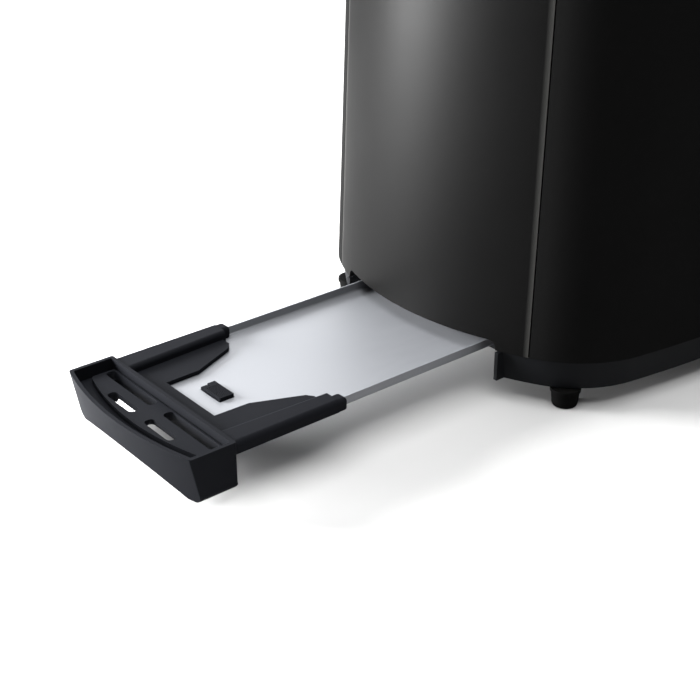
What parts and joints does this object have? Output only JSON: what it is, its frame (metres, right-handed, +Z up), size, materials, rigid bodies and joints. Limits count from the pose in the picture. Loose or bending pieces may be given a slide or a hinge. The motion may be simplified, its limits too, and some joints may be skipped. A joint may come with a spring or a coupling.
{
  "type": "pop-up toaster",
  "caption": "Pop-up toaster with two long bread slots, a lift lever, browning knob, buttons and a pull-out crumb tray with a slotted handle.",
  "frame": {"origin": "middle of the whole toaster's box, on the floor under it, with the crumb tray pulled out", "axes": "+X along the body from the tray end to the lever end, +Y across it, +Z up"},
  "size_m": [0.4416, 0.1866, 0.195],
  "materials": {
    "black_plastic": "moulded, semi-matt",
    "satin_black_plastic": "satin moulded black",
    "shell_black_plastic": "flat moulded black",
    "tray_plastic": "moulded, fine matt texture",
    "tray_metal": "satin aluminised sheet",
    "zinc_plated_steel": "zinc plated",
    "mica": "dull, flaky sheet",
    "rubber": "matt",
    "knob_plastic": "semi-gloss moulded",
    "board_laminate": "laminate"
  },
  "bodies": {
    "housing": {"base": "black_plastic", "base_screw_1": "zinc_plated_steel", "base_screw_2": "zinc_plated_steel", "base_screw_3": "zinc_plated_steel", "base_screw_4": "zinc_plated_steel", "browning_control": "zinc_plated_steel", "cancel_switch": "black_plastic", "chassis_plate_lever_end": "zinc_plated_steel", "chassis_plate_tray_end": "zinc_plated_steel", "control_board": "board_laminate", "cord_gland": "rubber", "defrost_switch": "black_plastic", "electromagnet": "black_plastic", "foot_lever_end_left": "rubber", "foot_lever_end_right": "rubber", "foot_tray_end_left": "rubber", "foot_tray_end_right": "rubber", "guide_rod": "zinc_plated_steel", "heater_card_centre": "mica", "heater_card_left": "mica", "heater_card_right": "mica", "lever_end_panel": "satin_black_plastic", "lift_spring": "zinc_plated_steel", "power_switch": "black_plastic", "reflector_left": "zinc_plated_steel", "reflector_right": "zinc_plated_steel", "reheat_switch": "black_plastic", "rod_bracket": "zinc_plated_steel", "side_shell_left": "shell_black_plastic", "side_shell_right": "shell_black_plastic", "slot_throat_left": "zinc_plated_steel", "slot_throat_right": "zinc_plated_steel", "top_cover": "satin_black_plastic", "tray_end_panel": "satin_black_plastic"},
    "crumb_tray": {"tray_carrier": "tray_plastic", "crumb_tray_pan": "tray_metal"},
    "lift": {"carriage": "zinc_plated_steel", "lever_arm": "zinc_plated_steel", "lever_knob": "knob_plastic", "keeper": "zinc_plated_steel", "bread_rack_left": "zinc_plated_steel", "bread_rack_right": "zinc_plated_steel"},
    "bread_guide_left_inner": {"bread_guide_left_inner": "zinc_plated_steel"},
    "bread_guide_left_outer": {"bread_guide_left_outer": "zinc_plated_steel"},
    "bread_guide_right_inner": {"bread_guide_right_inner": "zinc_plated_steel"},
    "bread_guide_right_outer": {"bread_guide_right_outer": "zinc_plated_steel"},
    "browning_knob": {"browning_knob": "knob_plastic"},
    "cancel_button": {"cancel_button": "knob_plastic"},
    "reheat_button": {"reheat_button": "knob_plastic"},
    "defrost_button": {"defrost_button": "knob_plastic"}
  },
  "joints": [
    {"name": "crumb_tray_slide", "type": "slide", "parent": "housing", "child": "crumb_tray", "axis": [1, 0, 0], "range_m": [-0.12, 0.14]},
    {"name": "lever_slide", "type": "slide", "parent": "housing", "child": "lift", "axis": [0, 0, 1], "range_m": [-0.057, 0], "stiffness_N_per_m": 45, "springref_m": 0.05, "deforming": ["lift_spring"]},
    {"name": "bread_guide_left_inner_slide", "type": "slide", "parent": "housing", "child": "bread_guide_left_inner", "axis": [0, 1, 0], "range_m": [0, 0.007]},
    {"name": "bread_guide_left_outer_slide", "type": "slide", "parent": "housing", "child": "bread_guide_left_outer", "axis": [0, -1, 0], "range_m": [0, 0.007]},
    {"name": "bread_guide_right_inner_slide", "type": "slide", "parent": "housing", "child": "bread_guide_right_inner", "axis": [0, -1, 0], "range_m": [0, 0.007]},
    {"name": "bread_guide_right_outer_slide", "type": "slide", "parent": "housing", "child": "bread_guide_right_outer", "axis": [0, 1, 0], "range_m": [0, 0.007]},
    {"name": "browning_knob_turn", "type": "hinge", "parent": "housing", "child": "browning_knob", "pos_m": [0.18725, -0.032, 0.064], "axis": [1, 0, 0], "range_deg": [-130, 130]},
    {"name": "cancel_button_press", "type": "slide", "parent": "housing", "child": "cancel_button", "axis": [-1, 0, 0], "range_m": [0, 0.003], "stiffness_N_per_m": 300, "springref_m": -0.001},
    {"name": "reheat_button_press", "type": "slide", "parent": "housing", "child": "reheat_button", "axis": [-1, 0, 0], "range_m": [0, 0.003], "stiffness_N_per_m": 300, "springref_m": -0.001},
    {"name": "defrost_button_press", "type": "slide", "parent": "housing", "child": "defrost_button", "axis": [-1, 0, 0], "range_m": [0, 0.003], "stiffness_N_per_m": 300, "springref_m": -0.001}
  ],
  "couplings": [
    {"joint": "bread_guide_left_inner_slide", "follows": "lever_slide", "ratio": -0.1225},
    {"joint": "bread_guide_left_outer_slide", "follows": "lever_slide", "ratio": -0.1225},
    {"joint": "bread_guide_right_inner_slide", "follows": "lever_slide", "ratio": -0.1225},
    {"joint": "bread_guide_right_outer_slide", "follows": "lever_slide", "ratio": -0.1225}
  ]
}
